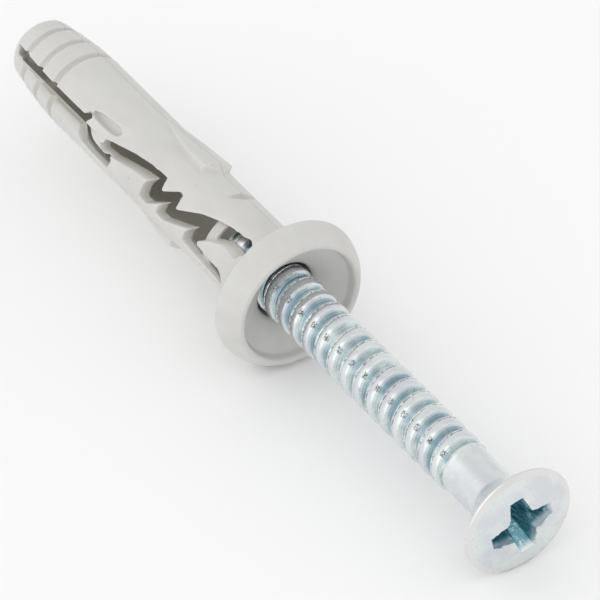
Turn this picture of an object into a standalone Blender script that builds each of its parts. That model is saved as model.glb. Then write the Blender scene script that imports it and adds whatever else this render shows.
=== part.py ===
"""Hammer fixing of the 6 mm class, as supplied: a slotted nylon plug with a cupped collar, and the
countersunk hammer-in screw that stands half driven in it. It lies on its side, on a small flat of
the collar and the head's rim, with the head towards +X.

Both pieces are modelled about their own long axis, which is their local Z and points to the head.
Local X goes through the two barbs and the mould's parting line, and local Y through the two slots.
Lengths along the plug are counted back from the front of its collar.
"""

from math import asin, atan, atan2, cos, pi, radians, sin, sqrt, tan

import bmesh
import bpy
from mathutils import Matrix, Vector

# Everything below is in millimetres: the axis that carries both pieces brings them down to metres,
# because a Boolean loses its way among edges of a few microns.
MM = 0.001
WELD = 0.003

# Facets round each turned piece. Whole steps of it set how far the parting line leans from upright,
# so that a flat of the collar and a flat of the head both face the floor.
SIDES = 48
LEAN_FLATS = 3.5

# Plug: the tube and its tip
BODY_R = 3.0
PLUG_LENGTH = 33.3
TIP_R = 2.36
TIP_ROUND = 0.3
TIP_TAPER = 6.4
RING_COUNT = 3
RING_PITCH = 2.05
FIRST_RING = 1.75
RING_WIDTH = 0.5
RING_DEPTH = 0.24
BORE_CLEARANCE = 0.2

# Plug: the collar, with a recess and a shallow cone that take the screw's head
COLLAR_R = 5.57
COLLAR_THICKNESS = 2.15
COLLAR_BULGE_AT = 1.7
LIP_R = 4.95
LIP_ROUND = 0.24
WALL_SWELL = 0.08
BACK_ROUND = 0.3
GATE_FLAT_DEPTH = 0.12
RECESS_R = 4.4
RECESS_DEPTH = 0.6
RECESS_DRAFT = 0.12
MOUTH_R = 2.4
MOUTH_DEPTH = 1.75

# Plug: the two barbs on the parting line and the notch between each barb and the collar
BARB_HEIGHT = 0.5
BARB_LENGTH = 6.1
BARB_HALF_WIDTH = 1.3
BARB_FROM_COLLAR = 9.6
BARB_POINT = 0.75
BARB_BLUNT = 0.12
BARB_FOOT = 0.06
BARB_SUNK = 0.1
NOTCH_FROM_COLLAR = 7.15
NOTCH_STEEP = 0.2
NOTCH_RAMP = 1.7
NOTCH_DEPTH = 0.3

# Plug: the slots. Their edges are given as pairs: distance behind the collar, and height above the
# plane through the axis and the slot's middle.
TIP_BRIDGE = 0.4
SLOT_HALF_WIDTH = 0.38
SLOT_CORNER = 0.09
KEYHOLE_FLOOR = 0.25
WEB_FROM_COLLAR = 5.2
WEB_WIDTH = 0.85
WEB_THICKNESS = 0.35
WEB_SET_BACK = 0.03
TONGUE_GAP = [
    (21.55, 0.45), (20.85, 1.02), (20.35, 0.62), (20.95, -0.02), (20.85, -0.26), (20.25, -0.5),
    (18.7, -0.69), (18.05, -0.72), (17.5, -0.53), (17.2, -0.8), (17.5, -1.44), (19.7, -1.49),
    (20.95, -1.3), (21.35, -0.8), (21.5, -0.38),
]
KEYHOLE = [
    (20.8, 0.8), (20.7, 1.08), (20.0, 1.27), (19.1, 1.37), (17.9, 1.44), (17.45, 1.3), (17.4, 1.1),
    (17.7, 0.82), (18.2, 0.72), (19.2, 0.66), (20.2, 0.68),
]
ZIGZAG_TOP = [
    (18.5, 0.02), (18.3, 0.24), (17.2, 0.5), (15.35, 0.93), (13.5, 1.2), (11.65, 1.3),
    (11.45, 0.42), (11.3, 0.42), (9.95, 1.25), (9.55, 1.2), (9.45, 0.2), (9.3, 0.2), (7.2, 1.2),
    (5.6, 1.66), (4.15, 1.9), (3.1, 1.97), (2.55, 2.1), (2.1, 1.95), (2.02, 1.15),
]
TONGUE = [
    (2.35, 1.0), (3.3, 1.12), (4.0, 1.03), (4.95, 0.7), (5.9, 0.1), (6.4, -0.29), (6.3, -0.7),
    (4.85, -0.86), (3.55, -0.9), (3.2, -1.2), (3.15, -1.8),
]
ZIGZAG_BOTTOM = [
    (4.4, -1.5), (6.9, -1.28), (7.85, -1.14), (7.6, -0.3), (7.15, 0.26), (10.3, -1.06),
    (11.2, -1.1), (10.85, -0.2), (10.35, 0.28), (12.4, -1.06), (13.3, -1.1), (13.0, 0.1),
    (12.75, 0.62), (14.55, 0.41), (16.05, 0.08), (17.05, -0.18), (18.4, -0.26),
]

# Screw: countersunk head with a cross recess
HEAD_R = 4.08
HEAD_LAND = 0.36
FACE_EDGE = 0.19
FACE_R = 3.79
FACE_CROWN = 0.5
CROWN_RINGS = 4
HEAD_HALF_ANGLE = radians(45)
CROSS_REACH = 2.2
CROSS_ARM_WIDTH = 1.05
CROSS_HUB_R = 1.35
CROSS_DEPTH = 2.3
CROSS_BOTTOM_REACH = 0.75
CROSS_BOTTOM_ARM_WIDTH = 0.55
CROSS_BOTTOM_HUB_R = 0.6
CROSS_TURN = radians(40)

# Screw: a rolled saw-tooth thread, its gentle flank towards the point. One turn of it is given as
# pairs: share of the pitch towards the head, and share of the depth.
THREAD_R = 2.0
THREAD_DEPTH = 0.4
THREAD_TURN = [(0.0, 0.0), (0.07, 0.0), (0.45, 0.82), (0.66, 1.0), (0.91, 0.84)]
PITCH = 1.53
THREAD_SIDES = 24
THREAD_START = radians(214)
PLAIN_SHANK = 6.2
POINT_LENGTH = 1.3
POINT_END_R = 0.45

# How the two pieces stand to each other
STANDOFF = 25.75
SEAT_CLEARANCE = 0.06
POINT_PROUD = 0.35

BORE_R = THREAD_R + BORE_CLEARANCE
SHANK_R = THREAD_R - THREAD_DEPTH / 2
LAND_ABOVE_MOUTH = (HEAD_R - MOUTH_R) / tan(HEAD_HALF_ANGLE)
FACE_WHEN_DRIVEN = -MOUTH_DEPTH + LAND_ABOVE_MOUTH + HEAD_LAND + SEAT_CLEARANCE
DRIVE_TRAVEL = STANDOFF - FACE_WHEN_DRIVEN
SCREW_LENGTH = FACE_WHEN_DRIVEN + PLUG_LENGTH + POINT_PROUD

# Half a facet in from its corners, a turned piece reaches only this share of its radius
FLAT = cos(pi / SIDES)
LEAN = 2 * pi / SIDES * LEAN_FLATS
COLLAR_REST_R = COLLAR_R * FLAT - GATE_FLAT_DEPTH
REST_SLOPE = (COLLAR_REST_R - HEAD_R * FLAT) / (COLLAR_BULGE_AT + STANDOFF - FACE_EDGE)
REST_TILT = atan(REST_SLOPE)


def clear_scene():
    for obj in list(bpy.data.objects):
        bpy.data.objects.remove(obj)


def new_collection(name):
    collection = bpy.data.collections.new(name)
    bpy.context.scene.collection.children.link(collection)
    return collection


def material(name, colour, roughness, metallic):
    made = bpy.data.materials.new(name)
    made.use_nodes = True
    shader = made.node_tree.nodes["Principled BSDF"]
    shader.inputs["Base Color"].default_value = (*colour, 1)
    shader.inputs["Roughness"].default_value = roughness
    shader.inputs["Metallic"].default_value = metallic
    return made


def arc(centre_r, centre_z, radius, start, end, steps=4):
    """Points of a round stretch of a turned outline, as (radius, height)."""
    angles = [start + (end - start) * step / steps for step in range(steps + 1)]
    return [(centre_r + radius * cos(a), centre_z + radius * sin(a)) for a in angles]


def add(name, mesh_maker, collection):
    mesh = bpy.data.meshes.new(name)
    mesh_maker.to_mesh(mesh)
    mesh_maker.free()
    obj = bpy.data.objects.new(name, mesh)
    collection.objects.link(obj)
    return obj


def turned(name, outline, collection, closed=False):
    """A lathe-turned solid from an outline of (radius, height), read from the top downwards."""
    maker = bmesh.new()
    points = [maker.verts.new((r, 0, z)) for r, z in outline]
    for upper, lower in zip(points, points[1:]):
        maker.edges.new((upper, lower))
    if closed:
        maker.edges.new((points[-1], points[0]))
    obj = add(name, maker, collection)
    spin = obj.modifiers.new("turn", "SCREW")
    spin.axis = "Z"
    spin.steps = spin.render_steps = SIDES
    spin.use_merge_vertices = True
    spin.merge_threshold = 1e-4
    return obj


def extruded(name, outline, depth, collection, corner=0.0):
    """A prism: an outline of (x, z), carried along the vector depth."""
    maker = bmesh.new()
    face = maker.faces.new([maker.verts.new((x, 0, z)) for x, z in outline])
    moved = bmesh.ops.extrude_face_region(maker, geom=[face])["geom"]
    tops = [part for part in moved if isinstance(part, bmesh.types.BMVert)]
    bmesh.ops.translate(maker, verts=tops, vec=depth)
    if corner:
        sides = [e for e in maker.edges if {v in tops for v in e.verts} == {True, False}]
        bmesh.ops.bevel(
            maker, geom=sides, offset=corner, segments=2, profile=0.5, affect="EDGES",
            clamp_overlap=True, material=-1,
        )
    bmesh.ops.recalc_face_normals(maker, faces=maker.faces)
    return add(name, maker, collection)


def combine(target, other, operation):
    step = target.modifiers.new(other.name, "BOOLEAN")
    step.operation = operation
    step.object = other
    other.hide_render = True
    other.display_type = "WIRE"


def place(obj, parent, matrix=None):
    obj.parent = parent
    obj.matrix_local = matrix or Matrix()


def finish(obj, angle):
    """Applies the cuts, welds the points they leave on top of each other and shades it smooth."""
    bpy.context.view_layer.update()
    evaluated = obj.evaluated_get(bpy.context.evaluated_depsgraph_get())
    mesh = bpy.data.meshes.new_from_object(evaluated)
    mesh.name = obj.name
    maker = bmesh.new()
    maker.from_mesh(mesh)
    bmesh.ops.remove_doubles(maker, verts=maker.verts, dist=WELD)
    bmesh.ops.dissolve_degenerate(maker, edges=maker.edges, dist=WELD)
    maker.to_mesh(mesh)
    maker.free()
    obj.modifiers.clear()
    obj.data = mesh
    mesh.shade_smooth()
    mesh.set_sharp_from_angle(angle=angle)


def ring_places():
    """Heights of the middle of each ring groove at the tip."""
    first = -PLUG_LENGTH + FIRST_RING
    return [first + RING_PITCH * number for number in range(RING_COUNT)]


def taper_r(z):
    """Outer radius of the plug's tip, which swells in a soft curve up to the tube."""
    share = min(max((z + PLUG_LENGTH) / TIP_TAPER, 0), 1)
    return TIP_R + (BODY_R - TIP_R) * sin(share * pi / 2)


def collar_front():
    """The lip and the outer wall of the collar, down to its back face."""
    draft = atan2(COLLAR_R - LIP_R, COLLAR_BULGE_AT)
    lip = arc(LIP_R - LIP_ROUND, -LIP_ROUND, LIP_ROUND, pi / 2, draft)
    middle_r = (LIP_R + COLLAR_R) / 2 + WALL_SWELL
    wall = [(middle_r, -COLLAR_BULGE_AT / 2), (COLLAR_R, -COLLAR_BULGE_AT)]
    back = arc(COLLAR_R - BACK_ROUND, -COLLAR_THICKNESS + BACK_ROUND, BACK_ROUND, 0, -pi / 2)
    return lip + wall + [point for point in back[1:] if point[1] < -COLLAR_BULGE_AT]


def tip_rings():
    """The tip from the tube to its end: a soft taper with V grooves."""
    points = [(BODY_R, -PLUG_LENGTH + TIP_TAPER)]
    for z in reversed(ring_places()):
        if z + RING_WIDTH < -PLUG_LENGTH + TIP_TAPER:
            points.append((taper_r(z + RING_WIDTH), z + RING_WIDTH))
        points.append((taper_r(z) - RING_DEPTH, z + RING_WIDTH / 4))
        points.append((taper_r(z - RING_WIDTH), z - RING_WIDTH / 2))
    end = arc(TIP_R - TIP_ROUND, -PLUG_LENGTH + TIP_ROUND, TIP_ROUND, 0, -pi / 2, 3)
    return points + end


def bore():
    """The bore, open at both ends. Its nose follows the screw's point when it is driven home."""
    point_z = -PLUG_LENGTH - POINT_PROUD
    slope = (THREAD_R - POINT_END_R) / POINT_LENGTH
    nose_r = POINT_END_R + BORE_CLEARANCE + slope * POINT_PROUD
    return [
        (nose_r, -PLUG_LENGTH),
        (BORE_R, point_z + POINT_LENGTH),
        (BORE_R, -MOUTH_DEPTH - (MOUTH_R - BORE_R)),
        (MOUTH_R, -MOUTH_DEPTH),
        (RECESS_R - RECESS_DRAFT, -RECESS_DEPTH),
        (RECESS_R, -LIP_ROUND / 2),
        (RECESS_R + LIP_ROUND / 2, 0),
    ]


def behind_collar(pairs):
    """Slot points, as (x, z) of the plug."""
    return [(height, -COLLAR_THICKNESS - back) for back, height in pairs]


def slot_outlines():
    """Outline of each slot and how far from the axis its floor lies."""
    tip_end = -PLUG_LENGTH + TIP_BRIDGE
    tip_slot = [(-SLOT_HALF_WIDTH, tip_end), (SLOT_HALF_WIDTH, tip_end)]
    return {
        "tip_slot": (tip_slot + behind_collar(TONGUE_GAP), 0),
        "keyhole": (behind_collar(KEYHOLE), BORE_R + KEYHOLE_FLOOR),
        "zigzag_slot": (behind_collar(ZIGZAG_TOP + TONGUE + ZIGZAG_BOTTOM), 0),
    }


def cut_slots(plug, axis, cutters):
    """Cuts the slots through the front wall, and the same turned half round in the back wall."""
    past_wall = 2 * BODY_R
    for side in range(2):
        for name, (outline, floor) in slot_outlines().items():
            depth = Vector((0, past_wall - floor, 0))
            cutter = extruded(f"{name}_{side}", outline, depth, cutters, SLOT_CORNER)
            turn = Matrix.Rotation(pi * side, 4, "Z") @ Matrix.Translation((0, floor, 0))
            place(cutter, axis, turn)
            combine(plug, cutter, "DIFFERENCE")


def add_web(plug, axis, cutters):
    """The ring inside the tube that still bridges both slots, close to the screw."""
    inner = BORE_R + WEB_SET_BACK
    top = -COLLAR_THICKNESS - WEB_FROM_COLLAR
    outline = [
        (inner + WEB_THICKNESS, top), (inner + WEB_THICKNESS, top - WEB_WIDTH),
        (inner, top - WEB_WIDTH), (inner, top),
    ]
    web = turned("web_ring", outline, cutters, closed=True)
    place(web, axis)
    combine(plug, web, "UNION")


def barb_plan():
    """A barb seen from outside: a pointed arch that ends in a shallow arrow, both slightly blunt."""
    back = -COLLAR_THICKNESS - BARB_FROM_COLLAR
    steps = 6
    side = []
    for step in range(steps + 1):
        share = step / steps
        half = BARB_BLUNT + (BARB_HALF_WIDTH - BARB_BLUNT) * sin(pi / 2 * share**0.85)
        side.append((half, back - BARB_POINT - BARB_LENGTH * (1 - share)))
    side.append((BARB_BLUNT, back))
    return side + [(-half, z) for half, z in reversed(side)]


def barb_cone():
    """What the barbs are trimmed to: a cone that stands a foot's height proud of the tube where they
    start, and that falls back to the foot's height over the arrow at their end."""
    base = -COLLAR_THICKNESS - BARB_FROM_COLLAR
    top = BODY_R + BARB_HEIGHT
    below = base - BARB_POINT - 2 * BARB_LENGTH
    below_r = top - 2 * (BARB_HEIGHT - BARB_FOOT)
    beyond = base + BARB_POINT
    beyond_r = top - 2 * (BARB_HEIGHT - BARB_FOOT)
    return [(0, beyond), (beyond_r, beyond), (top, base - BARB_POINT), (below_r, below), (0, below)]


def add_barbs(plug, axis, cutters):
    """A prism on each side of the tube, trimmed to a double cone."""
    root = sqrt(BODY_R**2 - BARB_HALF_WIDTH**2) - BARB_SUNK
    tall = Vector((0, 2 * BARB_HEIGHT + BODY_R - root, 0))
    seat = Matrix.Translation((0, root, 0))
    for side in range(2):
        barb = extruded(f"barb_{side}", barb_plan(), tall, cutters)
        barb.data.transform(Matrix.Rotation(-pi / 2, 4, "Z") @ seat)
        cone = turned(f"barb_cone_{side}", barb_cone(), cutters)
        place(barb, axis, Matrix.Rotation(pi * side, 4, "Z"))
        place(cone, axis)
        combine(barb, cone, "INTERSECT")
        combine(plug, barb, "UNION")


def cut_notches(plug, axis, cutters):
    """A notch across the parting line on each side: a steep step, then a ramp up to the collar."""
    middle = -COLLAR_THICKNESS - NOTCH_FROM_COLLAR
    above = BODY_R + NOTCH_DEPTH
    outline = [
        (BODY_R - NOTCH_DEPTH, middle), (above, middle + NOTCH_RAMP), (above, middle - NOTCH_STEEP),
    ]
    for side in range(2):
        notch = extruded(f"notch_{side}", outline, Vector((0, 2 * BODY_R, 0)), cutters)
        turn = Matrix.Rotation(pi * side, 4, "Z") @ Matrix.Translation((0, -BODY_R, 0))
        place(notch, axis, turn)
        combine(plug, notch, "DIFFERENCE")


def floor_below(z):
    """Distance from the axis to the floor that the fixing lies on, square to the axis."""
    return COLLAR_REST_R - REST_SLOPE * (z + COLLAR_BULGE_AT)


def cut_gate_flat(plug, axis, cutters):
    """The small flat that the collar lies on, such as the trimmed gate of a moulding leaves."""
    ends = (-2 * COLLAR_THICKNESS, COLLAR_THICKNESS)
    outline = [(floor_below(z), z) for z in ends] + [(2 * COLLAR_R, z) for z in reversed(ends)]
    block = extruded("gate_flat", outline, Vector((0, 2 * COLLAR_R, 0)), cutters)
    place(block, axis, Matrix.Rotation(LEAN + pi, 4, "Z") @ Matrix.Translation((0, -COLLAR_R, 0)))
    combine(plug, block, "DIFFERENCE")


def make_plug(axis, parts, cutters):
    outline = collar_front() + [(BODY_R, -COLLAR_THICKNESS)] + tip_rings() + bore()
    plug = turned("expansion_plug", outline, parts, closed=True)
    place(plug, axis)
    add_barbs(plug, axis, cutters)
    cut_slots(plug, axis, cutters)
    add_web(plug, axis, cutters)
    cut_notches(plug, axis, cutters)
    cut_gate_flat(plug, axis, cutters)
    plug.data.materials.append(material("grey_nylon", (0.56, 0.56, 0.54), 0.5, 0))
    return plug


def thread_profile(turns):
    """One side of the thread, turn after turn: a gentle rise, a broad crest and a steep drop."""
    root = THREAD_R - THREAD_DEPTH
    return [
        (root + rise * THREAD_DEPTH, (turn + share) * PITCH)
        for turn in range(turns) for share, rise in THREAD_TURN
    ]


def threaded_rod(name, start, end, collection):
    """A closed threaded rod that reaches at least from start to end along Z."""
    turns = int((end - start) / PITCH) + 4
    maker = bmesh.new()
    points = [maker.verts.new((r, 0, z)) for r, z in thread_profile(turns)]
    edges = [maker.edges.new(pair) for pair in zip(points, points[1:])]
    bmesh.ops.spin(
        maker, geom=points + edges, cent=(0, 0, 0), axis=(0, 0, 1), angle=2 * pi,
        dvec=(0, 0, PITCH / THREAD_SIDES), steps=THREAD_SIDES, use_merge=False,
    )
    bmesh.ops.remove_doubles(maker, verts=maker.verts, dist=0.01)
    bmesh.ops.holes_fill(maker, edges=[e for e in maker.edges if e.is_boundary], sides=0)
    bmesh.ops.triangulate(maker, faces=[f for f in maker.faces if len(f.verts) > 4])
    bmesh.ops.recalc_face_normals(maker, faces=maker.faces)
    bmesh.ops.translate(maker, verts=maker.verts, vec=(0, 0, start - 2 * PITCH))
    turn = Matrix.Rotation(THREAD_START, 3, "Z")
    bmesh.ops.rotate(maker, verts=maker.verts, cent=(0, 0, 0), matrix=turn)
    return add(name, maker, collection)


def rod_blank():
    """What the threaded length is trimmed to: a blunt point, and a fade-out at the plain shank."""
    end = -SCREW_LENGTH
    top = -HEAD_LAND - PLAIN_SHANK
    clear = THREAD_R + THREAD_DEPTH / 4
    return [
        (0, top + PITCH), (THREAD_R - THREAD_DEPTH, top + PITCH), (clear, top - PITCH / 2),
        (clear, end + POINT_LENGTH), (POINT_END_R, end), (0, end),
    ]


def head_blank():
    """Head and plain shank, from the crown of the face down."""
    crown_r = (FACE_R**2 + FACE_CROWN**2) / (2 * FACE_CROWN)
    reach = asin(FACE_R / crown_r)
    angles = [reach * step / CROWN_RINGS for step in range(CROWN_RINGS + 1)]
    crown = [(crown_r * sin(a), FACE_CROWN - crown_r * (1 - cos(a))) for a in angles]
    under = -HEAD_LAND
    cone_end = under - (HEAD_R - SHANK_R) / tan(HEAD_HALF_ANGLE)
    return crown + [
        (HEAD_R - FACE_EDGE / 3, -FACE_EDGE / 3), (HEAD_R, -FACE_EDGE), (HEAD_R, under),
        (SHANK_R, cone_end), (SHANK_R, -HEAD_LAND - PLAIN_SHANK), (0, -HEAD_LAND - PLAIN_SHANK),
    ]


def cross_outline(reach, width, hub):
    """A four-armed cross with blunt arm ends and a notch between each pair of arms."""
    corner = hub * sqrt(0.5)
    points = []
    for arm in range(4):
        turn = Matrix.Rotation(arm * pi / 2, 2)
        shape = (reach, -width / 2), (reach, width / 2), (corner, corner)
        points += [turn @ Vector(point) for point in shape]
    return points


def cross_recess(name, collection):
    """The driver recess: a cross whose arms run together towards its bottom."""
    maker = bmesh.new()
    above = 2 * FACE_CROWN
    flare = (CROSS_REACH - CROSS_BOTTOM_REACH) / CROSS_DEPTH
    top = cross_outline(CROSS_REACH + flare * above, CROSS_ARM_WIDTH, CROSS_HUB_R)
    bottom = cross_outline(CROSS_BOTTOM_REACH, CROSS_BOTTOM_ARM_WIDTH, CROSS_BOTTOM_HUB_R)
    rims = []
    for outline, z in ((top, above), (bottom, -CROSS_DEPTH)):
        rims += maker.faces.new([maker.verts.new((*point, z)) for point in outline]).edges[:]
    bmesh.ops.bridge_loops(maker, edges=rims)
    bmesh.ops.triangulate(maker, faces=maker.faces)
    bmesh.ops.recalc_face_normals(maker, faces=maker.faces)
    turn = Matrix.Rotation(CROSS_TURN, 3, "Z")
    bmesh.ops.rotate(maker, verts=maker.verts, cent=(0, 0, 0), matrix=turn)
    return add(name, maker, collection)


def make_screw(axis, parts, cutters):
    """The screw's own origin is the rim plane of its face, on the axis that it is driven along."""
    screw = turned("hammer_screw", head_blank(), parts)
    place(screw, axis, Matrix.Translation((0, 0, STANDOFF)))
    rod = threaded_rod("threaded_rod", -SCREW_LENGTH, -HEAD_LAND - PLAIN_SHANK, cutters)
    trim = turned("rod_blank", rod_blank(), cutters)
    recess = cross_recess("cross_recess", cutters)
    for helper in (rod, trim, recess):
        place(helper, screw)
    combine(rod, trim, "INTERSECT")
    combine(screw, rod, "UNION")
    combine(screw, recess, "DIFFERENCE")
    screw.data.materials.append(material("zinc_plated_steel", (0.72, 0.77, 0.78), 0.28, 1))
    return screw


def lying_axis(collection):
    """The shared axis: tilted to lie on both rims, and turned so that the barbs lean from upright."""
    axis = bpy.data.objects.new("fixing_axis", None)
    collection.objects.link(axis)
    along = Vector((cos(REST_TILT), 0, -sin(REST_TILT)))
    across = Vector((0, 1, 0))
    up = along.cross(across)
    barb_side = up * cos(LEAN) + across * sin(LEAN)
    slot_side = along.cross(barb_side)
    columns = Matrix((barb_side, slot_side, along)).transposed()
    axis.matrix_world = columns.to_4x4() @ Matrix.Scale(MM, 4)
    return axis


def set_down(axis, pieces):
    """Moves the fixing so that the world's origin is the bottom centre of its bounding box."""
    bpy.context.view_layer.update()
    corners = [piece.matrix_world @ point.co for piece in pieces for point in piece.data.vertices]
    low = Vector(min(corner[k] for corner in corners) for k in range(3))
    high = Vector(max(corner[k] for corner in corners) for k in range(3))
    middle = (low + high) / 2
    axis.location = -Vector((middle.x, middle.y, low.z))


def main():
    clear_scene()
    parts = new_collection("hammer_fixing")
    cutters = new_collection("cutters")
    axis = lying_axis(parts)
    plug = make_plug(axis, parts, cutters)
    screw = make_screw(axis, parts, cutters)
    for piece in (plug, screw):
        finish(piece, radians(35))
    set_down(axis, (plug, screw))


main()
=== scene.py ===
"""Hammer fixing: a slotted grey nylon plug, with a zinc-plated screw standing half driven in it.

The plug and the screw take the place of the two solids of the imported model. Each is modelled in
millimetres about the fixing's own axis and then set down in the frame. In those millimetres Z points
to the screw's head and is zero at the front of the collar, X goes through the two barbs and the
mould's parting line, and Y goes through the two slots.
"""

from math import asin, atan2, cos, exp, hypot, inf, pi, radians, sin, sqrt, tan

import bmesh
import bpy
from mathutils import Euler, Matrix, Vector, noise


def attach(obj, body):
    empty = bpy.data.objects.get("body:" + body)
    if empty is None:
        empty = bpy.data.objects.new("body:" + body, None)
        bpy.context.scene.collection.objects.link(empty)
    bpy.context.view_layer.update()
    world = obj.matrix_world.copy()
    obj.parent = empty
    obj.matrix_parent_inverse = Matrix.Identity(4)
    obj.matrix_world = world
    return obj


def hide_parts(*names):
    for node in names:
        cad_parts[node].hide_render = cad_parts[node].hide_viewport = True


MM = 0.001

# The fixing's axis in the frame, in metres and degrees
AXIS_AT = Vector((0.0035746, 0.0, 0.0053461))
REST_TILT = radians(2.8704)
LEAN = radians(26.25)

# Plug: the tube, its tip and its bore
PLUG_SIDES = 160
BODY_R = 3.0
PLUG_LENGTH = 33.3
TIP_R = 2.36
TIP_ROUND = 0.3
TIP_TAPER = 6.4
RING_COUNT = 3
RING_PITCH = 2.05
FIRST_RING = 1.75
RING_WIDTH = 0.62
RING_DEPTH = 0.34
# Across one groove, from the tip's side: share of its width, share of its depth
RING_PROFILE = [
    (0, 0), (0.12, 0.6), (0.25, 0.95), (0.5, 1), (0.8, 0.8), (0.95, 0.2), (1.05, -0.12), (1.3, 0),
]
TIP_ROWS = 120
TIP_ROWS_ROUNDED = 5
BORE_R = 2.2
POINT_CLEARANCE = 0.04

# Plug: the collar
COLLAR_R = 5.57
COLLAR_THICKNESS = 2.15
COLLAR_BULGE_AT = 1.7
LIP_R = 4.95
LIP_ROUND = 0.24
WALL_SWELL = 0.08
WALL_ROWS = 6
COLLAR_FILLET = 0.15
BACK_ROUND = 0.3
RECESS_R = 4.4
RECESS_DEPTH = 0.6
RECESS_DRAFT = 0.12
MOUTH_R = 2.4
MOUTH_DEPTH = 1.75

# Plug: barbs and notches
BARB_HEIGHT = 0.5
BARB_LENGTH = 6.1
BARB_HALF_WIDTH = 1.3
BARB_FROM_COLLAR = 9.6
BARB_POINT = 0.75
BARB_BLUNT = 0.12
BARB_FOOT = 0.1
BARB_SUNK = 0.3
BARB_ARCH = 0.85
BARB_STEPS = 16
NOTCH_FROM_COLLAR = 7.15
NOTCH_STEEP = 0.2
NOTCH_RAMP = 1.7
NOTCH_DEPTH = 0.38

# Plug: the slots, as pairs of distance behind the collar and height above the slot's middle
TIP_BRIDGE = 0.4
SLOT_HALF_WIDTH = 0.38
KEYHOLE_FLOOR = 0.25
WEB_FROM_COLLAR = 5.2
WEB_WIDTH = 0.85
WEB_THICKNESS = 0.35
WEB_SET_BACK = 0.03
TONGUE_GAP = [
    (21.4, 0.42), (20.95, 0.88), (20.5, 0.62), (20.95, -0.02), (20.85, -0.26), (20.25, -0.5),
    (18.7, -0.69), (18.05, -0.72), (17.5, -0.53), (17.2, -0.8), (17.5, -1.44), (19.7, -1.49),
    (20.95, -1.3), (21.35, -0.8), (21.5, -0.38),
]
KEYHOLE = [
    (20.8, 0.8), (20.7, 1.08), (20.0, 1.27), (19.1, 1.37), (17.9, 1.44), (17.45, 1.3), (17.4, 1.1),
    (17.7, 0.82), (18.2, 0.72), (19.2, 0.66), (20.2, 0.68),
]
ZIGZAG_TOP = [
    (18.5, 0.02), (18.3, 0.24), (17.2, 0.5), (15.35, 0.93), (13.5, 1.2), (11.65, 1.3),
    (11.45, 0.42), (11.3, 0.42), (9.95, 1.25), (9.55, 1.2), (9.45, 0.2), (9.3, 0.2), (7.2, 1.2),
    (5.6, 1.66), (4.15, 1.9), (3.1, 1.97), (2.55, 2.1), (2.1, 1.95), (2.02, 1.15),
]
TONGUE = [
    (2.35, 1.0), (3.3, 1.12), (4.0, 1.03), (4.95, 0.7), (5.9, 0.1), (6.4, -0.29), (6.3, -0.7),
    (4.85, -0.86), (3.55, -0.9), (3.2, -1.2), (3.15, -1.8),
]
ZIGZAG_BOTTOM = [
    (4.4, -1.5), (6.9, -1.28), (7.85, -1.14), (7.6, -0.3), (7.15, 0.26), (10.3, -1.06),
    (11.2, -1.1), (10.85, -0.2), (10.35, 0.28), (12.4, -1.06), (13.3, -1.1), (13.0, 0.1),
    (12.75, 0.62), (14.55, 0.41), (16.05, 0.08), (17.05, -0.18), (18.4, -0.26),
]
SLOT_CORNER = 0.1

# Plug: how steeply the slots' lower walls lean out, downwards and towards the tip, and from what
# height over the axis; the leaning cut starts a little above that
SLOT_DRAFT = (0.5, 0.35)
DRAFT_FROM = 2.05
DRAFT_SET_BACK = 0.1

# Plug: the grain of its mesh, and the fine ridge that the mould's two halves leave
VOXEL = 0.062
SOFTENING = 2
PLUG_TRIANGLES = 190000
FLASH_HEIGHT = 0.05
FLASH_HALF_WIDTH = 0.06
FLASH_WANDER = 0.4

# Plug: the wide lead-in along the lower edge of the tip's slot: its share of the wall, its reach
# down from the slot, and the heights between which it fades in
LEAD_IN = 0.8
LEAD_IN_REACH = 1.5
LEAD_IN_FADE = (-21.4, -23.6)

# Screw: heights are counted from the rim plane of its face
STANDOFF = 25.75
SCREW_LENGTH = 34.0
HEAD_R = 4.08
HEAD_LAND = 0.36
RIM_BAND_DROP = 0.2
FACE_R = 3.66
FACE_CROWN = 0.4
CROWN_RINGS = 34
LAND_ROUND = 0.1
RIM_ROUND = 0.05
HEAD_HALF_ANGLE = radians(45)
NECK_ROUND = 0.5
THREAD_R = 2.0
THREAD_DEPTH = 0.4
PITCH = 1.53
THREAD_SIDES = 144
THREAD_START = radians(129)
SHANK_R = THREAD_R - THREAD_DEPTH / 2
PLAIN_SHANK = 5.75
RUN_OUT = 0.6
END_WELD = 0.01
POINT_LENGTH = 1.3
POINT_END_R = 0.45
POINT_PROUD = 0.35

# One turn of thread, from the point towards the head: share of the pitch, share of the depth. A
# gentle flank climbs to a thin rolled lip, then come the rounded crest and the steep drop.
THREAD_TURN = [
    (0.0, 0.0), (0.04, 0.0), (0.08, 0.05), (0.14, 0.2), (0.21, 0.4), (0.28, 0.58), (0.35, 0.74),
    (0.382, 0.9), (0.415, 0.9), (0.437, 0.79), (0.47, 0.87), (0.54, 0.95), (0.64, 1.0),
    (0.75, 1.0), (0.84, 0.97), (0.885, 0.9), (0.91, 0.66), (0.945, 0.22),
]
THREAD_LIP = 0.4
LIP_RAGGED = 0.035
ROLLING_MARKS = 0.014

# The line along the thread that holds a row of pits on the crests and a painted dark reflection: its
# angle, its width, and its pits' depth
PIT_AND_REFLECTION_LINE = radians(69)
PIT_AND_REFLECTION_WIDTH = radians(7)
DIE_PITS = 0.05

# Screw: the driver recess
CROSS_TURN = radians(40)
CROSS_REACH = 2.2
CROSS_ARM_WIDTH = 1.05
CROSS_HUB_R = 1.35
CROSS_DEPTH = 2.3
CROSS_BOTTOM_REACH = 0.75
CROSS_BOTTOM_ARM_WIDTH = 0.55
CROSS_BOTTOM_HUB_R = 0.6
BURR_HEIGHT = 0.09
BURR_WIDTH = 0.14
BURR_RAGGED = 1.5

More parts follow.
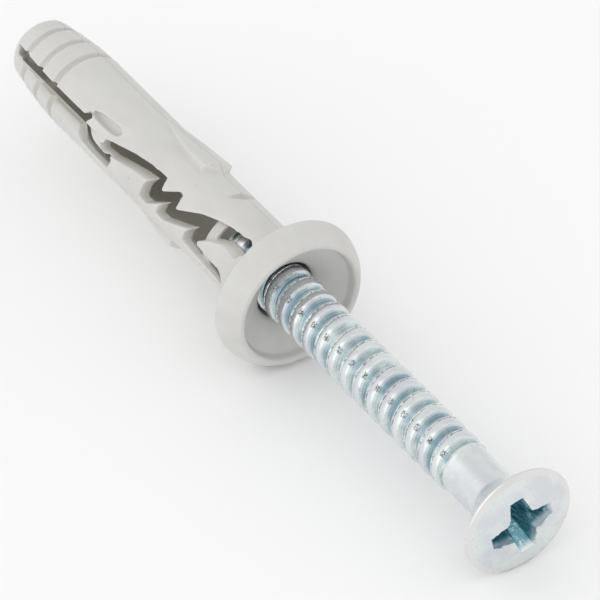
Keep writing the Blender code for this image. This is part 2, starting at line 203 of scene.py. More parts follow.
# The light that each colour sends back
NYLON_LIGHT, NYLON_DARK = (0.63, 0.625, 0.605), (0.58, 0.575, 0.555)
# The first colour of the next line is painted shade for deep in the slots and on the bore
NYLON_PAINTED_SHADE, NYLON_SPECK = (0.52, 0.5, 0.455), (0.3, 0.29, 0.27)
ZINC_WARM, ZINC_COOL = (0.77, 0.82, 0.81), (0.70, 0.72, 0.76)
# The first colour of the next line is a painted reflection on the head's land and rim, pinker and a
# little lighter
# The second colour of the next line darkens real pits, and a painted dark reflection along one line
# of the thread
ZINC_RIM_REFLECTION, ZINC_PITS_AND_DARK_REFLECTION = (0.80, 0.78, 0.77), (0.08, 0.08, 0.08)
# The first colour of the next line is painted shade for the thread's roots
# The second and third colours of the next line are painted shade in the driver recess and painted
# highlights on its punch marks
THREAD_ROOT_SHADE, RECESS_PAINTED_SHADE, RECESS_PAINTED_HIGHLIGHT = (0.27, 0.41, 0.46), (0.17, 0.36, 0.42), (0.72, 0.84, 0.86)
FLOOR_WHITE = (0.93, 0.93, 0.93, 1)

# Heights between which the nylon's seam line and painted shade make up for the taper of the tip
TIP_TINT = (-27.5, -34.5)

# Camera, from the photograph's perspective: metres, degrees and millimetres of lens
CAMERA_AT = (0.2933724, -0.1874659, 0.2721432)
CAMERA_TURN = (52.3431, 0.5893, 56.655)
CAMERA_LENS = 390

# Light of the white tent round the fixing
TENT_LIGHT = 0.85


def axis_frame():
    """From the fixing's millimetres to the frame."""
    along = Vector((cos(REST_TILT), 0, -sin(REST_TILT)))
    across = Vector((0, 1, 0))
    up = along.cross(across)
    barb_side = up * cos(LEAN) + across * sin(LEAN)
    turn = Matrix((barb_side, along.cross(barb_side), along)).transposed().to_4x4()
    return Matrix.Translation(AXIS_AT) @ turn @ Matrix.Scale(MM, 4)


AXIS = axis_frame()


def arc(centre_r, centre_z, radius, start, end, steps=8):
    """Points of a round stretch of a turned outline, as (radius, height)."""
    angles = [start + (end - start) * step / steps for step in range(steps + 1)]
    return [(centre_r + radius * cos(a), centre_z + radius * sin(a)) for a in angles]


def smooth_step(low, high, value):
    """A soft step from 0 at low to 1 at high."""
    share = min(max((value - low) / (high - low), 0), 1)
    return share * share * (3 - 2 * share)


def distance_to_line(point, corners):
    """How far a point is from the straight stretches between corners."""
    nearest = inf
    for start, end in zip(corners, corners[1:]):
        side = end - start
        share = min(max((point - start).dot(side) / side.length_squared, 0), 1)
        nearest = min(nearest, (point - start - side * share).length)
    return nearest


def as_object(name, maker):
    mesh = bpy.data.meshes.new(name)
    maker.to_mesh(mesh)
    maker.free()
    obj = bpy.data.objects.new(name, mesh)
    bpy.context.scene.collection.objects.link(obj)
    return obj


def settle(obj):
    """Applies the object's modifiers to its mesh."""
    bpy.context.view_layer.update()
    ready = obj.evaluated_get(bpy.context.evaluated_depsgraph_get())
    mesh = bpy.data.meshes.new_from_object(ready)
    obj.modifiers.clear()
    obj.data = mesh
    return mesh


def lathe(outline, sides, closed=False):
    """A turned skin from an outline of (radius, height)."""
    maker = bmesh.new()
    points = [maker.verts.new((r, 0, z)) for r, z in outline]
    edges = [maker.edges.new(pair) for pair in zip(points, points[1:])]
    if closed:
        edges.append(maker.edges.new((points[-1], points[0])))
    bmesh.ops.spin(
        maker, geom=points + edges, cent=(0, 0, 0), axis=(0, 0, 1), angle=2 * pi, steps=sides,
        use_merge=True,
    )
    bmesh.ops.remove_doubles(maker, verts=maker.verts, dist=1e-4)
    bmesh.ops.recalc_face_normals(maker, faces=maker.faces)
    return maker


def neighbours(points):
    """Each point of a closed outline, with the one before it and the one after it."""
    return zip(points[-1:] + points, points, points[1:] + points[:1])


def rounded(outline, corner):
    """A closed outline with its corners cut round."""
    points = []
    for before, at, after in neighbours([Vector(point) for point in outline]):
        legs = before - at, after - at
        reach = min(corner, *(0.4 * leg.length for leg in legs))
        start, end = (at + leg.normalized() * reach for leg in legs)
        points += [start, (start + end + 2 * at) / 4, end]
    return points


def prism(outline, depth):
    """An outline of (x, z) carried along Y."""
    maker = bmesh.new()
    face = maker.faces.new([maker.verts.new((x, 0, z)) for x, z in outline])
    moved = bmesh.ops.extrude_face_region(maker, geom=[face])["geom"]
    tops = [part for part in moved if isinstance(part, bmesh.types.BMVert)]
    bmesh.ops.translate(maker, verts=tops, vec=(0, depth, 0))
    bmesh.ops.recalc_face_normals(maker, faces=maker.faces)
    return maker


class Carving:
    """A solid, and the solids that are cut from it or added to it one after another."""

    def __init__(self, name, maker):
        self.body = as_object(name, maker)
        self.tools = []

    def combine(self, operation, maker, matrix=None):
        tool = as_object(f"{self.body.name}_tool", maker)
        if matrix:
            tool.data.transform(matrix)
        step = self.body.modifiers.new(tool.name, "BOOLEAN")
        step.operation = operation
        step.object = tool
        self.tools.append(tool)
        return self

    def cut(self, maker, matrix=None):
        return self.combine("DIFFERENCE", maker, matrix)

    def add(self, maker, matrix=None):
        return self.combine("UNION", maker, matrix)

    def keep_within(self, maker, matrix=None):
        return self.combine("INTERSECT", maker, matrix)

    def finished(self):
        settle(self.body)
        for tool in self.tools:
            bpy.data.objects.remove(tool)
        return self.body


# Plug


def tip_radius(z):
    share = min(max((z + PLUG_LENGTH) / TIP_TAPER, 0), 1)
    return TIP_R + (BODY_R - TIP_R) * sin(share * pi / 2)


def ring_dip(z):
    """Depth of the ring grooves at a height: steep on the tip's side, then a floor that rises to a
    faint lip."""
    for number in range(RING_COUNT):
        share = (z + PLUG_LENGTH - FIRST_RING - RING_PITCH * number) / RING_WIDTH + 0.5
        if 0 < share < RING_PROFILE[-1][0]:
            for (low, start), (high, end) in zip(RING_PROFILE, RING_PROFILE[1:]):
                if low <= share < high:
                    return RING_DEPTH * (start + (end - start) * (share - low) / (high - low))
    return 0


def plug_outline():
    """From the collar's lip, over the wall, the tube and the tip, and back up the bore."""
    draft = atan2(COLLAR_R - LIP_R, COLLAR_BULGE_AT)
    lip = arc(LIP_R - LIP_ROUND, -LIP_ROUND, LIP_ROUND, pi / 2, draft)
    swell = []
    for step in range(1, WALL_ROWS + 1):
        share = step / WALL_ROWS
        bow = 4 * share * (1 - share) * WALL_SWELL
        swell.append((LIP_R + (COLLAR_R - LIP_R) * share + bow, -COLLAR_BULGE_AT * share))
    back = arc(COLLAR_R - BACK_ROUND, -COLLAR_THICKNESS + BACK_ROUND, BACK_ROUND, 0, -pi / 2)
    fillet = arc(
        BODY_R + COLLAR_FILLET, -COLLAR_THICKNESS - COLLAR_FILLET, -COLLAR_FILLET, -pi / 2, 0, 4
    )
    rows = range(TIP_ROWS, TIP_ROWS_ROUNDED, -1)
    heights = [-PLUG_LENGTH + TIP_TAPER * row / TIP_ROWS for row in rows]
    tube = [(tip_radius(z) - ring_dip(z), z) for z in heights]
    end = arc(TIP_R - TIP_ROUND, -PLUG_LENGTH + TIP_ROUND, TIP_ROUND, 0, -pi / 2)
    slope = (THREAD_R - POINT_END_R) / POINT_LENGTH
    nose_r = POINT_END_R + POINT_CLEARANCE + slope * POINT_PROUD
    bore = [
        (nose_r, -PLUG_LENGTH), (BORE_R, -PLUG_LENGTH + (BORE_R - nose_r) / slope),
        (BORE_R, -MOUTH_DEPTH - (MOUTH_R - BORE_R)), (MOUTH_R, -MOUTH_DEPTH),
        (RECESS_R - RECESS_DRAFT, -RECESS_DEPTH),
        (RECESS_R, -LIP_ROUND / 2), (RECESS_R + LIP_ROUND / 2, 0),
    ]
    return lip + swell[1:] + back[1:] + fillet + tube + end + bore


def behind_collar(pairs):
    return [(height, -COLLAR_THICKNESS - back) for back, height in pairs]


def leaning():
    """The shear that makes a slot lean out above the height where its draft begins."""
    down, back = SLOT_DRAFT
    shear = Matrix(((1, -down, 0, 0), (0, 1, 0, 0), (0, -back, 1, 0), (0, 0, 0, 1)))
    return Matrix.Translation((down * DRAFT_FROM, 0, back * DRAFT_FROM)) @ shear


def cut_slots(plug):
    """Both slots: the blind keyhole, the split tip with its first tongue, and the zigzag. The last
    two are cut straight and then leaning, so that their lower walls open out."""
    split_end = PLUG_LENGTH - TIP_BRIDGE - COLLAR_THICKNESS
    split = [(split_end, -SLOT_HALF_WIDTH), (split_end, SLOT_HALF_WIDTH)]
    cuts = [(KEYHOLE, BORE_R + KEYHOLE_FLOOR, Matrix())]
    for outline in (split + TONGUE_GAP, ZIGZAG_TOP + TONGUE + ZIGZAG_BOTTOM):
        cuts += [(outline, 0, Matrix()), (outline, DRAFT_FROM + DRAFT_SET_BACK, leaning())]
    for side in range(2):
        turn = Matrix.Rotation(pi * side, 4, "Z")
        for outline, floor, lean in cuts:
            shape = prism(rounded(behind_collar(outline), SLOT_CORNER), 2 * BODY_R - floor)
            plug.cut(shape, turn @ lean @ Matrix.Translation((0, floor, 0)))


def web_ring():
    """The ring inside the tube that bridges both slots."""
    inner, top = BORE_R + WEB_SET_BACK, -COLLAR_THICKNESS - WEB_FROM_COLLAR
    outline = [
        (inner + WEB_THICKNESS, top), (inner + WEB_THICKNESS, top - WEB_WIDTH),
        (inner, top - WEB_WIDTH), (inner, top),
    ]
    return lathe(outline, PLUG_SIDES, closed=True)


def barb_plan():
    """A barb seen from outside: a pointed arch that widens to the blunt arrow at its end."""
    back = -COLLAR_THICKNESS - BARB_FROM_COLLAR
    side = []
    for step in range(BARB_STEPS + 1):
        share = step / BARB_STEPS
        half = BARB_BLUNT + (BARB_HALF_WIDTH - BARB_BLUNT) * sin(pi / 2 * share**BARB_ARCH)
        side.append((half, back - BARB_POINT - BARB_LENGTH * (1 - share)))
    side.append((BARB_BLUNT, back))
    return side + [(-half, z) for half, z in reversed(side)]


def barb():
    """A prism with a pointed arch for its plan, trimmed to a double cone."""
    root = sqrt(BODY_R**2 - BARB_HALF_WIDTH**2) - BARB_SUNK
    base = -COLLAR_THICKNESS - BARB_FROM_COLLAR
    top, low = BODY_R + BARB_HEIGHT, BODY_R - BARB_HEIGHT + 2 * BARB_FOOT
    below, beyond = base - BARB_POINT - 2 * BARB_LENGTH, base + BARB_POINT
    cone = lathe(
        [(0, beyond), (low, beyond), (top, base - BARB_POINT), (low, below), (0, below)], PLUG_SIDES
    )
    wedge = prism(barb_plan(), 2 * BARB_HEIGHT + BODY_R - root)
    wedge.transform(Matrix.Rotation(-pi / 2, 4, "Z") @ Matrix.Translation((0, root, 0)))
    return Carving("barb", wedge).keep_within(cone).finished()


def notch():
    """What is cut across the parting line: a steep step, then a ramp up to the collar."""
    middle, above = -COLLAR_THICKNESS - NOTCH_FROM_COLLAR, BODY_R + NOTCH_DEPTH
    outline = [
        (BODY_R - NOTCH_DEPTH, middle), (above, middle + NOTCH_RAMP), (above, middle - NOTCH_STEEP),
    ]
    return prism(outline, 2 * BODY_R)


def raise_flash(mesh):
    """Moves the tube's skin out along the mould's parting line."""
    for vertex in mesh.vertices:
        x, y, z = vertex.co
        if abs(y) < 3 * FLASH_HALF_WIDTH and abs(x) > BORE_R and z < -COLLAR_THICKNESS:
            ridge = FLASH_HEIGHT * exp(-((y / FLASH_HALF_WIDTH) ** 2))
            wander = 1 - FLASH_WANDER + FLASH_WANDER * noise.noise(Vector((0, x, z * 0.9)))
            vertex.co.x += ridge * wander * (1 if x > 0 else -1)


def sink_lead_in(mesh):
    """Thins the wall below the slot at the tip, on both sides of the plug."""
    for vertex in mesh.vertices:
        x, y, z = vertex.co
        radius = hypot(x, y)
        below = -x if y > 0 else x
        if radius > BORE_R and below > 0:
            share = smooth_step(LEAD_IN_REACH, SLOT_HALF_WIDTH, below)
            share *= LEAD_IN * smooth_step(*LEAD_IN_FADE, z)
            vertex.co.xy *= 1 - (1 - BORE_R / radius) * share


def moulded(obj):
    """Gives a carved solid the soft edges of a moulding, and an even mesh."""
    remesh = obj.modifiers.new("grain", "REMESH")
    remesh.mode = "VOXEL"
    remesh.voxel_size = VOXEL
    soften = obj.modifiers.new("soften", "SMOOTH")
    soften.factor = 0.5
    soften.iterations = SOFTENING
    mesh = settle(obj)
    raise_flash(mesh)
    sink_lead_in(mesh)
    thin = obj.modifiers.new("thin", "DECIMATE")
    thin.ratio = min(1, PLUG_TRIANGLES / (2 * len(mesh.polygons)))
    settle(obj)


def make_plug():
    plug = Carving("nylon_plug", lathe(plug_outline(), PLUG_SIDES, closed=True))
    barb_piece = barb()
    for side in range(2):
        turn = Matrix.Rotation(pi * side, 4, "Z")
        wedge = bmesh.new()
        wedge.from_mesh(barb_piece.data)
        plug.add(wedge, turn)
    bpy.data.objects.remove(barb_piece)
    cut_slots(plug)
    plug.add(web_ring())
    for side in range(2):
        turn = Matrix.Rotation(pi * side, 4, "Z") @ Matrix.Translation((0, -BODY_R, 0))
        plug.cut(notch(), turn)
    obj = plug.finished()
    moulded(obj)
    return obj


# Screw


def thread_skin():
    """An open threaded skin that reaches past both ends of the threaded length."""
    start = -SCREW_LENGTH - 2 * PITCH
    turns = int((SCREW_LENGTH - HEAD_LAND - PLAIN_SHANK) / PITCH) + 4
    root = THREAD_R - THREAD_DEPTH
    outline = [
        (root + rise * THREAD_DEPTH, start + (turn + share) * PITCH)
        for turn in range(turns) for share, rise in THREAD_TURN
    ]
    maker = bmesh.new()
    points = [maker.verts.new((r, 0, z)) for r, z in outline]
    edges = [maker.edges.new(pair) for pair in zip(points, points[1:])]
    bmesh.ops.spin(
        maker, geom=points + edges, cent=(0, 0, 0), axis=(0, 0, 1), angle=2 * pi,
        dvec=(0, 0, PITCH / THREAD_SIDES), steps=THREAD_SIDES, use_merge=False,
    )
    bmesh.ops.remove_doubles(maker, verts=maker.verts, dist=0.002)
    turn = Matrix.Rotation(THREAD_START, 3, "Z")
    bmesh.ops.rotate(maker, verts=maker.verts, cent=(0, 0, 0), matrix=turn)
    return maker


def thread_phase(co):
    """How far a point of the thread is through its turn, as a share of the pitch."""
    turned = (atan2(co.y, co.x) - THREAD_START) / (2 * pi)
    return ((co.z + SCREW_LENGTH) / PITCH - turned) % 1


def set_radius(vertex, radius):
    now = hypot(vertex.co.x, vertex.co.y)
    vertex.co.x *= radius / now
    vertex.co.y *= radius / now


def rolled_marks(co):
    """What the rolling left on the thread: a ragged lip, faint dents and a line of pits."""
    phase = thread_phase(co)
    dents = ROLLING_MARKS * noise.noise(co * 2.5)
    lip = LIP_RAGGED * exp(-(((phase - THREAD_LIP) / 0.03) ** 2)) * noise.noise(co * 6)
    beside = (atan2(co.y, co.x) - PIT_AND_REFLECTION_LINE) / PIT_AND_REFLECTION_WIDTH
    crest = smooth_step(0.66, 0.78, phase) * smooth_step(0.95, 0.9, phase)
    pits = DIE_PITS * exp(-(beside**2)) * crest * max(0, noise.noise(co * 7))
    return dents + lip - pits


def fade_thread(maker):
    """Lets the thread run out into the plain shank, and tapers it down to the point."""
    shank_end, point_end = -HEAD_LAND - PLAIN_SHANK, -SCREW_LENGTH
    for vertex in maker.verts:
        z = vertex.co.z
        radius = hypot(vertex.co.x, vertex.co.y)
        radius += rolled_marks(vertex.co)
        kept = smooth_step(0, RUN_OUT, shank_end - z)
        radius = SHANK_R + (radius - SHANK_R) * kept
        taper = min(max((z - point_end) / POINT_LENGTH, 0), 1)
        radius *= (POINT_END_R + (THREAD_R - POINT_END_R) * taper) / THREAD_R
        set_radius(vertex, radius)


def trim_ends(maker):
    """Cuts the threaded skin square at the shank and at the point, and returns the two rims."""
    rims = []
    for height, normal in ((-HEAD_LAND - PLAIN_SHANK, 1), (-SCREW_LENGTH, -1)):
        geometry = maker.verts[:] + maker.edges[:] + maker.faces[:]
        cut = bmesh.ops.bisect_plane(
            maker, geom=geometry, dist=1e-5, plane_co=(0, 0, height), plane_no=(0, 0, normal),
            clear_outer=True,
        )["geom_cut"]
        corners = [part for part in cut if isinstance(part, bmesh.types.BMVert)]
        bmesh.ops.remove_doubles(maker, verts=corners, dist=END_WELD)
        left = {corner for corner in corners if corner.is_valid}
        edges = [edge for edge in maker.edges if left.issuperset(edge.verts)]
        rims.append([edge for edge in edges if edge.is_boundary])
    return rims


def carry_on(maker, rim, outline):
    """Carries a round rim on through an outline of (radius, height), and closes it at the end."""
    for radius, z in outline:
        new = bmesh.ops.extrude_edge_only(maker, edges=rim)["geom"]
        rim = [part for part in new if isinstance(part, bmesh.types.BMEdge)]
        for vertex in {v for edge in rim for v in edge.verts}:
            set_radius(vertex, radius)
            vertex.co.z = z
    bmesh.ops.holes_fill(maker, edges=rim, sides=0)


def head_outline():
    """From the plain shank, over the cone and the land, to the middle of the domed face."""
    under = -HEAD_LAND
    cone_end = under - (HEAD_R - SHANK_R) / tan(HEAD_HALF_ANGLE)
    turn = NECK_ROUND * tan(HEAD_HALF_ANGLE / 2)
    neck = arc(SHANK_R + NECK_ROUND, cone_end - turn, -NECK_ROUND, 0, -HEAD_HALF_ANGLE, 6)
    land = arc(HEAD_R - LAND_ROUND, under + 0.06, LAND_ROUND, -pi / 4, 0, 3)
    rim = arc(HEAD_R - RIM_ROUND, -RIM_BAND_DROP, RIM_ROUND, 0, radians(60), 4)
    band = [(FACE_R + 0.04, -0.018), (FACE_R + 0.015, -0.004)]
    crown_r = (FACE_R**2 + FACE_CROWN**2) / (2 * FACE_CROWN)
    reach = asin(FACE_R / crown_r)
    angles = [reach * ring / CROWN_RINGS for ring in range(CROWN_RINGS, 0, -1)]
    crown = [(crown_r * sin(a), FACE_CROWN - crown_r * (1 - cos(a))) for a in angles]
    return neck + land + rim + band + crown


def cross_outline(reach, width, hub):
    corner = hub * sqrt(0.5)
    points = []
    for arm in range(4):
        turn = Matrix.Rotation(arm * pi / 2, 2)
        shape = (reach, -width / 2), (reach, width / 2), (corner, corner)
        points += [turn @ Vector(point) for point in shape]
    return points


def cross_cutter():
    """The driver recess: a cross whose arms run together towards its bottom."""
    maker = bmesh.new()
    above = 2 * FACE_CROWN
    flare = (CROSS_REACH - CROSS_BOTTOM_REACH) / CROSS_DEPTH
    levels = (
        (cross_outline(CROSS_REACH + flare * above, CROSS_ARM_WIDTH, CROSS_HUB_R), above),
        (cross_outline(CROSS_BOTTOM_REACH, CROSS_BOTTOM_ARM_WIDTH, CROSS_BOTTOM_HUB_R), -CROSS_DEPTH),
    )
    rims = []
    for outline, z in levels:
        rims += maker.faces.new([maker.verts.new((*point, z)) for point in outline]).edges[:]
    bmesh.ops.bridge_loops(maker, edges=rims)
    bmesh.ops.recalc_face_normals(maker, faces=maker.faces)
    turn = Matrix.Rotation(CROSS_TURN, 3, "Z")
    bmesh.ops.rotate(maker, verts=maker.verts, cent=(0, 0, 0), matrix=turn)
    return maker


def raise_burrs(maker):
    """The lip that the punch throws up round the recess."""
    turn = Matrix.Rotation(CROSS_TURN, 2)
    outline = [turn @ p for p in cross_outline(CROSS_REACH, CROSS_ARM_WIDTH, CROSS_HUB_R)]
    for vertex in maker.verts:
        if vertex.co.z > 0 and hypot(vertex.co.x, vertex.co.y) < FACE_R:
            away = distance_to_line(vertex.co.xy, outline + outline[:1])
            ragged = 1 + BURR_RAGGED * noise.noise(vertex.co * 3)
            vertex.co.z += BURR_HEIGHT * ragged * exp(-((away / BURR_WIDTH) ** 2))


def make_screw():
    maker = thread_skin()
    fade_thread(maker)
    top, bottom = trim_ends(maker)
    carry_on(maker, top, head_outline())
    end_z = -SCREW_LENGTH
    carry_on(maker, bottom, [(POINT_END_R * 0.8, end_z - 0.06), (POINT_END_R * 0.45, end_z - 0.09)])
    raise_burrs(maker)
    bmesh.ops.recalc_face_normals(maker, faces=maker.faces)
    screw = Carving("zinc_screw", maker).cut(cross_cutter()).finished()
    screw.data.transform(Matrix.Translation((0, 0, STANDOFF)))
    return screw


# Finishes


class Wire:
    """A shader socket that takes part in sums: each sign adds the Math node it stands for."""

    def __init__(self, finish, socket):
        self.finish = finish
        self.socket = socket

    def __add__(self, other):
        return self.finish.maths("ADD", self, other)

    def __sub__(self, other):
        return self.finish.maths("SUBTRACT", self, other)

    def __rsub__(self, other):
        return self.finish.maths("SUBTRACT", other, self)

    def __mul__(self, other):
        return self.finish.maths("MULTIPLY", self, other)

    def __truediv__(self, other):
        return self.finish.maths("DIVIDE", self, other)

    def __rtruediv__(self, other):
        return self.finish.maths("DIVIDE", other, self)

    def __pow__(self, other):
        return self.finish.maths("POWER", self, other)

    def __rpow__(self, other):
        return self.finish.maths("POWER", other, self)

    __radd__ = __add__
    __rmul__ = __mul__

    def between(self, low, high):
        """A soft step from 0 at low to 1 at high."""
        settings = {"interpolation_type": "SMOOTHSTEP"}
        sockets = {"Value": self, "From Min": low, "From Max": high}
        return self.finish.node("ShaderNodeMapRange", settings, sockets)


class Finish:
    """A procedural material for one piece, in the fixing's own millimetres."""

    def __init__(self, name, shift, **constants):
        self.material = bpy.data.materials.new(name)
        self.material.use_nodes = True
        self.tree = self.material.node_tree
        self.shader = self.tree.nodes["Principled BSDF"]
        for socket, value in constants.items():
            self.shader.inputs[socket.replace("_", " ")].default_value = value
        place = self.node("ShaderNodeTexCoord", out="Object")
        turn = AXIS.to_3x3().normalized().to_euler()
        at = AXIS @ Vector((0, 0, shift))
        self.place = self.node(
            "ShaderNodeMapping", {"vector_type": "TEXTURE"},
            {"Vector": place, "Location": at, "Rotation": turn, "Scale": (MM, MM, MM)},
        )
        self.x, self.y, self.z = [
            self.node("ShaderNodeSeparateXYZ", sockets={0: self.place}, out=axis) for axis in "XYZ"
        ]
        self.radius = (self.x * self.x + self.y * self.y) ** 0.5

    def node(self, kind, settings=None, sockets=(), out=0):
        made = self.tree.nodes.new(kind)
        for name, value in (settings or {}).items():
            setattr(made, name, value)
        pairs = sockets.items() if isinstance(sockets, dict) else enumerate(sockets)
        for key, value in pairs:
            if isinstance(value, Wire):
                self.tree.links.new(value.socket, made.inputs[key])
            else:
                made.inputs[key].default_value = value
        return Wire(self, made.outputs[out])

    def maths(self, operation, *values):
        return self.node("ShaderNodeMath", {"operation": operation}, values)

    def noise(self, stretch, detail=2.0, roughness=0.5):
        """Cloudy noise whose lumps repeat about so many times a millimetre along X, Y and Z."""
        place = self.node(
            "ShaderNodeVectorMath", {"operation": "MULTIPLY"}, {0: self.place, 1: stretch}
        )
        sockets = {"Vector": place, "Scale": 1.0, "Detail": detail, "Roughness": roughness}
        return self.node("ShaderNodeTexNoise", sockets=sockets, out="Fac")

    def mix(self, share, first, second):
        settings = {"data_type": "RGBA", "clamp_factor": True}
        colours = [value if isinstance(value, Wire) else (*value, 1) for value in (first, second)]
        return self.node(
            "ShaderNodeMix", settings, {0: share, 6: colours[0], 7: colours[1]}, out=2
        )

    def bump(self, height, distance):
        return self.node("ShaderNodeBump", sockets={"Height": height, "Distance": distance})

    def feed(self, **sockets):
        for name, wire in sockets.items():
            self.tree.links.new(wire.socket, self.shader.inputs[name.replace("_", " ")])
        return self.material


def nylon_finish():
    nylon = Finish(
        "moulded_grey_nylon", 0, Metallic=0.0, Subsurface_Weight=0.3, Subsurface_Scale=0.0008,
        Subsurface_Radius=(1.0, 0.9, 0.75), IOR=1.5,
    )
    clouds = nylon.noise((0.35, 0.35, 0.2), 3)
    flow = nylon.noise((1.1, 1.1, 0.45), 3, 0.6)
    grain = nylon.noise((14, 14, 14), 2, 0.6)
    specks = nylon.noise((2.2, 2.2, 2.2), 1).between(0.77, 0.8)
    # The radius, made up for the taper of the tip
    level = nylon.radius + nylon.z.between(*TIP_TINT) * 0.75
    seam = (nylon.y * nylon.y).between(0.008, 0.001) * level.between(2.7, 2.85)
    seam = seam * nylon.z.between(-COLLAR_THICKNESS + 0.1, -COLLAR_THICKNESS - 0.1)
    colour = nylon.mix((clouds * 0.6 + flow * 0.4).between(0.3, 0.7), NYLON_DARK, NYLON_LIGHT)
    # Painted shade: the nylon darkens from its outer wall in towards the bore, behind the collar
    inside = level.between(2.92, 2.3) * nylon.z.between(-1.6, -2.4)
    colour = nylon.mix(inside, colour, NYLON_PAINTED_SHADE)
    colour = nylon.mix(seam * 0.28 + specks * 0.3, colour, NYLON_SPECK)
    height = clouds * 0.6 + flow * 0.25 + grain * 0.03
    return nylon.feed(
        Base_Color=colour,
        Roughness=flow * 0.12 + grain * 0.08 + 0.38,
        Normal=nylon.bump(height, 0.00005),
    )


def zinc_finish():
    zinc = Finish("bright_zinc_plate", STANDOFF, Metallic=1.0, IOR=2.0)
    clouds = zinc.noise((0.5, 0.5, 0.5), 3)
    drawn = zinc.noise((1.2, 1.2, 9), 3, 0.6)
    pits = zinc.noise((5, 5, 5), 3, 0.7)
    grit = zinc.noise((10, 10, 10), 2, 0.7)
    # Punch marks in the recess: bumps, and patches of painted highlight
    punch_marks_and_highlights = zinc.noise((3.5, 3.5, 0.5), 3, 0.6)
    angle = zinc.maths("ARCTAN2", zinc.y, zinc.x)
    # Half a turn on from thread_phase, so that the thread's root comes at 0.5
    turns = (zinc.z + SCREW_LENGTH) / PITCH - (angle - THREAD_START) / (2 * pi) + 0.5
    phase = zinc.maths("FRACT", turns)
    threaded = zinc.z.between(-PLAIN_SHANK - 0.3, -PLAIN_SHANK - 0.9)
    root = phase.between(0.41, 0.45) * phase.between(0.58, 0.5) * threaded
    # Painted reflection: a dark line along the thread's crests, where they also carry pits
    beside = (angle - PIT_AND_REFLECTION_LINE) / PIT_AND_REFLECTION_WIDTH
    pit_and_reflection_band = (beside * beside).between(1.6, 0.2)
    pit_and_reflection_band = pit_and_reflection_band * phase.between(0.18, 0.3) * phase.between(0.46, 0.4)
    lip = phase.between(0.91, 0.93) * phase.between(0.975, 0.95)
    flare = (CROSS_REACH - CROSS_BOTTOM_REACH) / CROSS_DEPTH
    recess = (zinc.radius - zinc.z * flare).between(2.5, 2.3) * zinc.z.between(0.25, -0.3)
    rim = zinc.radius.between(FACE_R - 0.02, FACE_R + 0.06) * zinc.z.between(-1.5, -0.8)

    colour = zinc.mix(clouds.between(0.35, 0.65), ZINC_WARM, ZINC_COOL)
    # Painted reflection: the head's land and rim band are painted pinker and a little lighter
    colour = zinc.mix(rim * 0.7, colour, ZINC_RIM_REFLECTION)
    # Painted shade: the thread's roots are painted a darker teal, in patches
    colour = zinc.mix(root * clouds.between(0.2, 0.6), colour, THREAD_ROOT_SHADE)
    # Painted shade: the driver recess is painted dark teal, and painted highlights lighten it in
    # patches along the punch marks
    colour = zinc.mix(recess, colour, RECESS_PAINTED_SHADE)
    colour = zinc.mix(recess * punch_marks_and_highlights.between(0.52, 0.66) * 0.8, colour, RECESS_PAINTED_HIGHLIGHT)
    # Dark marks: real pits along the thread's lips, and the painted dark reflection on the crests'
    # line
    pits_and_dark_reflection = grit.between(0.46, 0.54) * pit_and_reflection_band * 0.9 + pits.between(0.48, 0.56) * lip * 0.6
    pits_and_dark_reflection = threaded * pits_and_dark_reflection
    speck = pits.between(0.62, 0.72)
    colour = zinc.mix(pits_and_dark_reflection + speck * threaded * 0.35, colour, ZINC_PITS_AND_DARK_REFLECTION)
    height = drawn * 0.25 + clouds * 0.4 - speck * 0.5 - pits_and_dark_reflection * 0.6 + recess * punch_marks_and_highlights * 2.0
    return zinc.feed(
        Base_Color=colour,
        Roughness=clouds * 0.14 + speck * 0.2 + pits_and_dark_reflection * 0.3 + 0.2,
        Normal=zinc.bump(height, 0.00003),
    )


# Stage


def floor():
    maker = bmesh.new()
    bmesh.ops.create_grid(maker, x_segments=1, y_segments=1, size=2.0)
    obj = as_object("studio_floor", maker)
    sheet = bpy.data.materials.new("pale_floor")
    sheet.use_nodes = True
    shader = sheet.node_tree.nodes["Principled BSDF"]
    shader.inputs["Base Color"].default_value = FLOOR_WHITE
    shader.inputs["Roughness"].default_value = 0.9
    obj.data.materials.append(sheet)


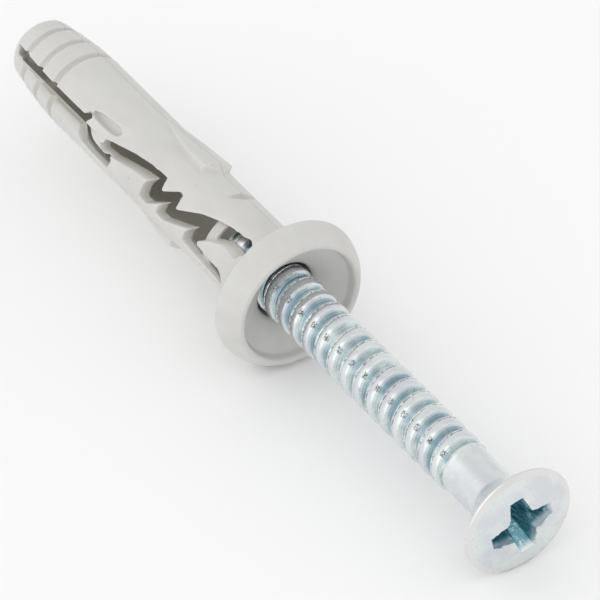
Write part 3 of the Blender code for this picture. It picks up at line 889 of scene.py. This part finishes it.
def soft_light(name, at, size, power):
    """A square soft light that faces the fixing."""
    lamp = bpy.data.lights.new(name, "AREA")
    lamp.size = size
    lamp.energy = power
    obj = bpy.data.objects.new(name, lamp)
    obj.location = at
    obj.rotation_euler = (-Vector(at)).to_track_quat("-Z", "Y").to_euler()
    bpy.context.scene.collection.objects.link(obj)


def studio():
    """Floor, tent and camera. The front light is so wide that the floor hides its lowest part."""
    floor()
    soft_light("back_right", (0.7, 1.2, 1.2), 3.2, 3)
    soft_light("front_left", (0.5, -1.6, 0.8), 4.5, 31)
    world = bpy.data.worlds.new("tent")
    world.use_nodes = True
    world.node_tree.nodes["Background"].inputs["Color"].default_value = (1, 1, 1, 1)
    world.node_tree.nodes["Background"].inputs["Strength"].default_value = TENT_LIGHT
    scene = bpy.context.scene
    scene.world = world
    scene.view_settings.view_transform = "Standard"
    lens = bpy.data.cameras.new("camera")
    lens.lens = CAMERA_LENS
    lens.clip_start, lens.clip_end = 0.01, 10
    camera = bpy.data.objects.new("camera", lens)
    camera.location = CAMERA_AT
    camera.rotation_euler = Euler(map(radians, CAMERA_TURN))
    scene.collection.objects.link(camera)
    scene.camera = camera


def set_down(obj, finish, node, body):
    """Brings a finished piece from its millimetres into the frame, in place of its solid."""
    obj.data.transform(AXIS)
    obj.data.materials.clear()
    obj.data.materials.append(finish)
    obj.data.shade_smooth()
    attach(obj, body)
    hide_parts(node)


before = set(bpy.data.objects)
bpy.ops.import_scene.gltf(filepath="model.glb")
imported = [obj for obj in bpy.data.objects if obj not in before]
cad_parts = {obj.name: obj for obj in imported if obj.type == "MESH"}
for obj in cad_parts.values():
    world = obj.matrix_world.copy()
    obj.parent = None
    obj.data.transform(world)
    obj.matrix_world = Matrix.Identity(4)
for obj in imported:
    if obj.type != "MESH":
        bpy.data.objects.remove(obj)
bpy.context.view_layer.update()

plug = make_plug()
set_down(plug, nylon_finish(), "expansion_plug", "plug")
screw = make_screw()
set_down(screw, zinc_finish(), "hammer_screw", "screw")
screw.data.set_sharp_from_angle(angle=radians(40))
studio()
